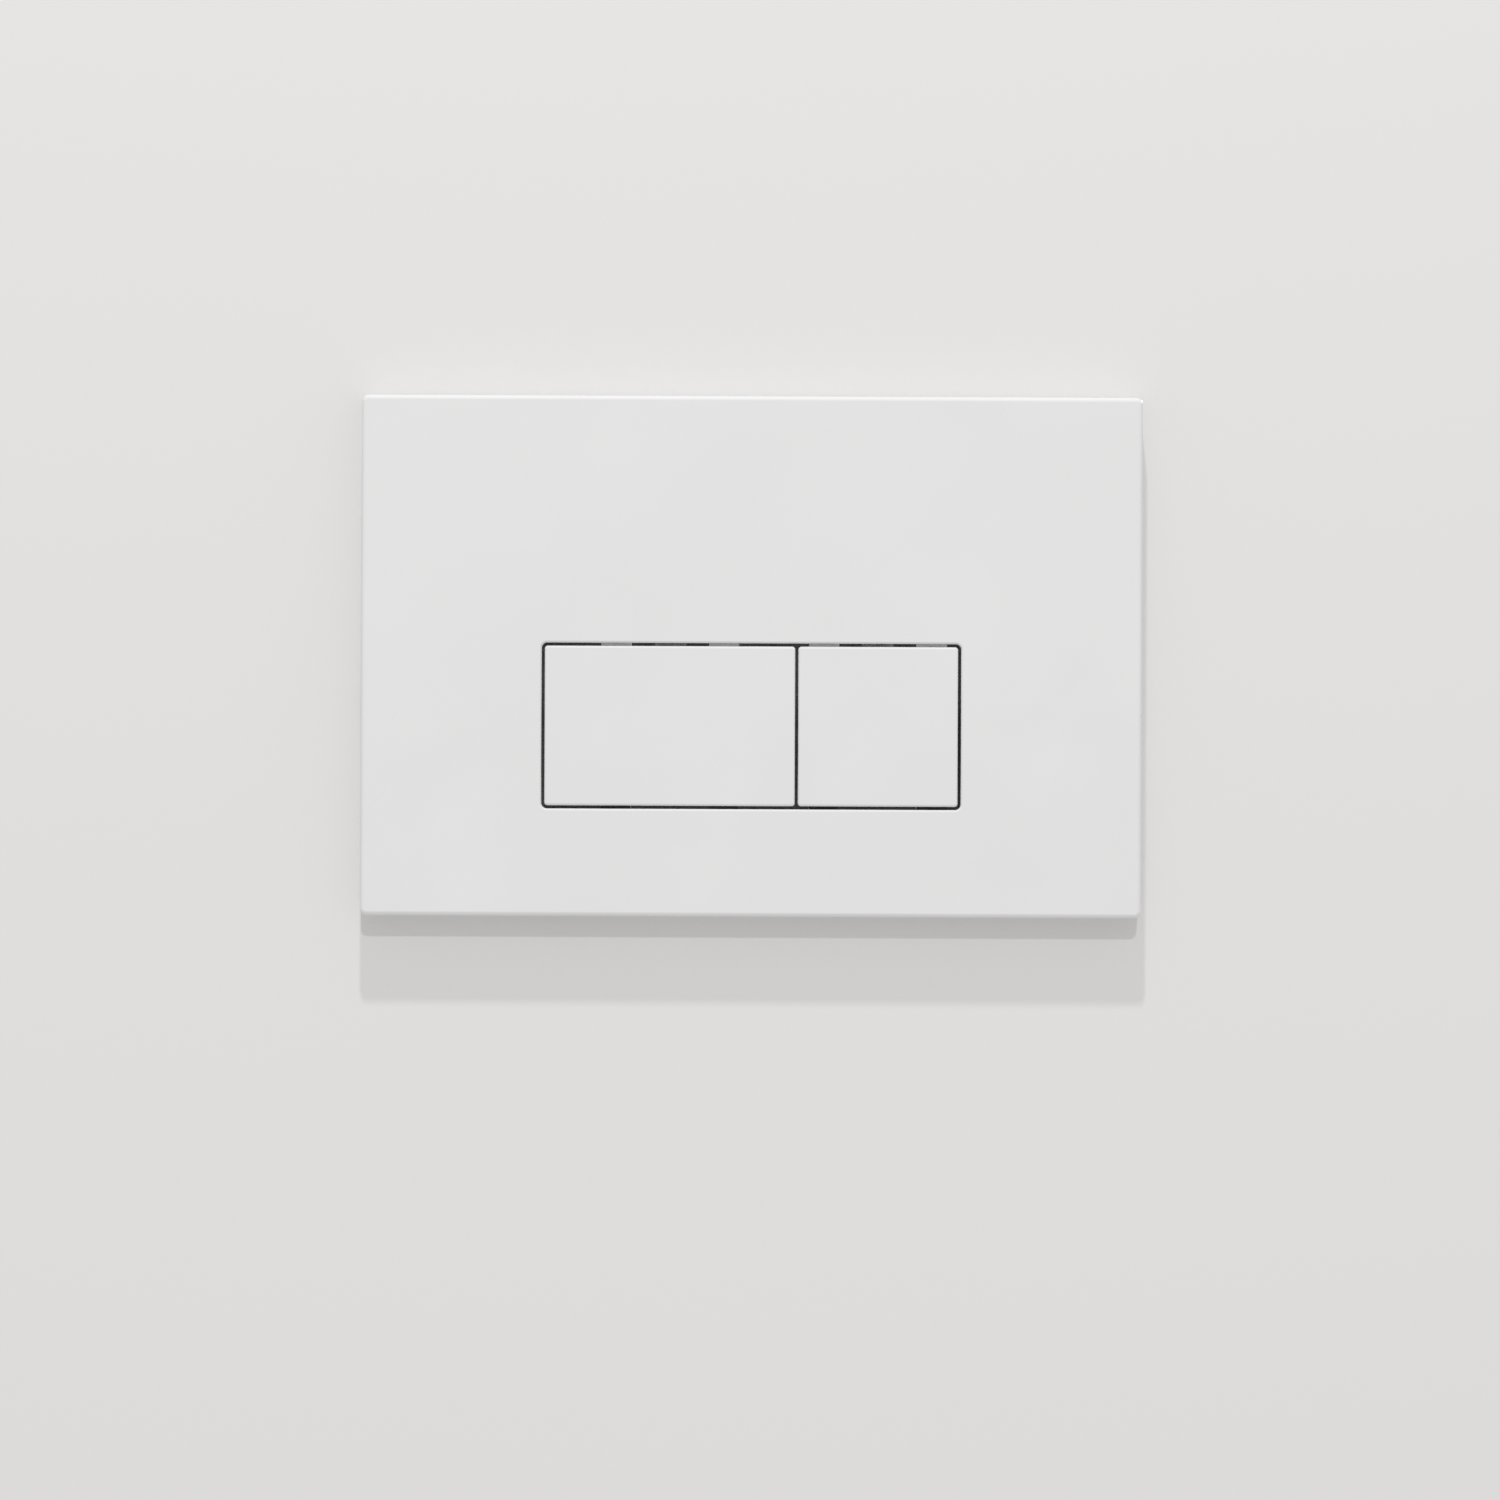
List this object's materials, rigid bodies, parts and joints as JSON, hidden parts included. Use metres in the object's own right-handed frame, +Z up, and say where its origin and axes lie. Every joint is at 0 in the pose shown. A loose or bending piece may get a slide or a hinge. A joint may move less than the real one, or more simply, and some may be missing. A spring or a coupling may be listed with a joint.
{
  "type": "flush button plate",
  "caption": "White rectangular flush plate for a concealed cistern, with a wide and a narrow hinged push button that drive rods through the wall.",
  "frame": {"origin": "centre of the plate on the finished wall that the mounting frame rests on", "axes": "+X to the right as seen from the front, +Y into the wall, +Z up"},
  "size_m": [0.246, 0.0745, 0.164],
  "materials": {
    "plate_white": "gloss moulded",
    "button_white": "gloss moulded",
    "buffer_rubber": "matt",
    "carrier_plastic": "fine moulded grain",
    "pin_steel": "drawn bright",
    "spring_steel": "rolled strip",
    "frame_plastic": "fine moulded grain",
    "bridge_plastic": "fine moulded grain",
    "rod_plastic": "moulded thread",
    "cap_plastic": "fine moulded grain",
    "bolt_steel": "zinc plated",
    "nut_plastic": "fine moulded grain"
  },
  "bodies": {
    "fixed": {"front_plate": "plate_white", "button_carrier": "carrier_plastic", "large_hinge_pin": "pin_steel", "small_hinge_pin": "pin_steel", "large_return_spring": "spring_steel", "small_return_spring": "spring_steel", "mounting_frame": "frame_plastic", "rod_bridge": "bridge_plastic", "left_fixing_bolt": "bolt_steel", "right_fixing_bolt": "bolt_steel", "left_fixing_nut": "nut_plastic", "right_fixing_nut": "nut_plastic"},
    "large_button": {"large_button": "button_white", "large_button_buffers": "buffer_rubber"},
    "small_button": {"small_button": "button_white", "small_button_buffers": "buffer_rubber"},
    "large_rod": {"large_push_rod": "rod_plastic", "large_rod_cap": "cap_plastic"},
    "small_rod": {"small_push_rod": "rod_plastic", "small_rod_cap": "cap_plastic"}
  },
  "joints": [
    {"name": "large_button_press", "type": "hinge", "parent": "fixed", "child": "large_button", "pos_m": [-0.02565, -0.0059, 0.00745], "axis": [1, 0, 0], "range_deg": [0, 8], "stiffness_Nm_per_rad": 0.8, "springref_deg": -5.73, "deforming": ["large_return_spring"]},
    {"name": "small_button_press", "type": "hinge", "parent": "fixed", "child": "small_button", "pos_m": [0.03995, -0.0059, 0.00745], "axis": [1, 0, 0], "range_deg": [0, 8], "stiffness_Nm_per_rad": 0.8, "springref_deg": -5.73, "deforming": ["small_return_spring"]},
    {"name": "large_rod_slide", "type": "slide", "parent": "fixed", "child": "large_rod", "axis": [0, 1, 0], "range_m": [0, 0.0047]},
    {"name": "small_rod_slide", "type": "slide", "parent": "fixed", "child": "small_rod", "axis": [0, 1, 0], "range_m": [0, 0.0047]}
  ],
  "couplings": [
    {"joint": "large_rod_slide", "follows": "large_button_press", "m_per_rad": 0.033},
    {"joint": "small_rod_slide", "follows": "small_button_press", "m_per_rad": 0.033}
  ]
}
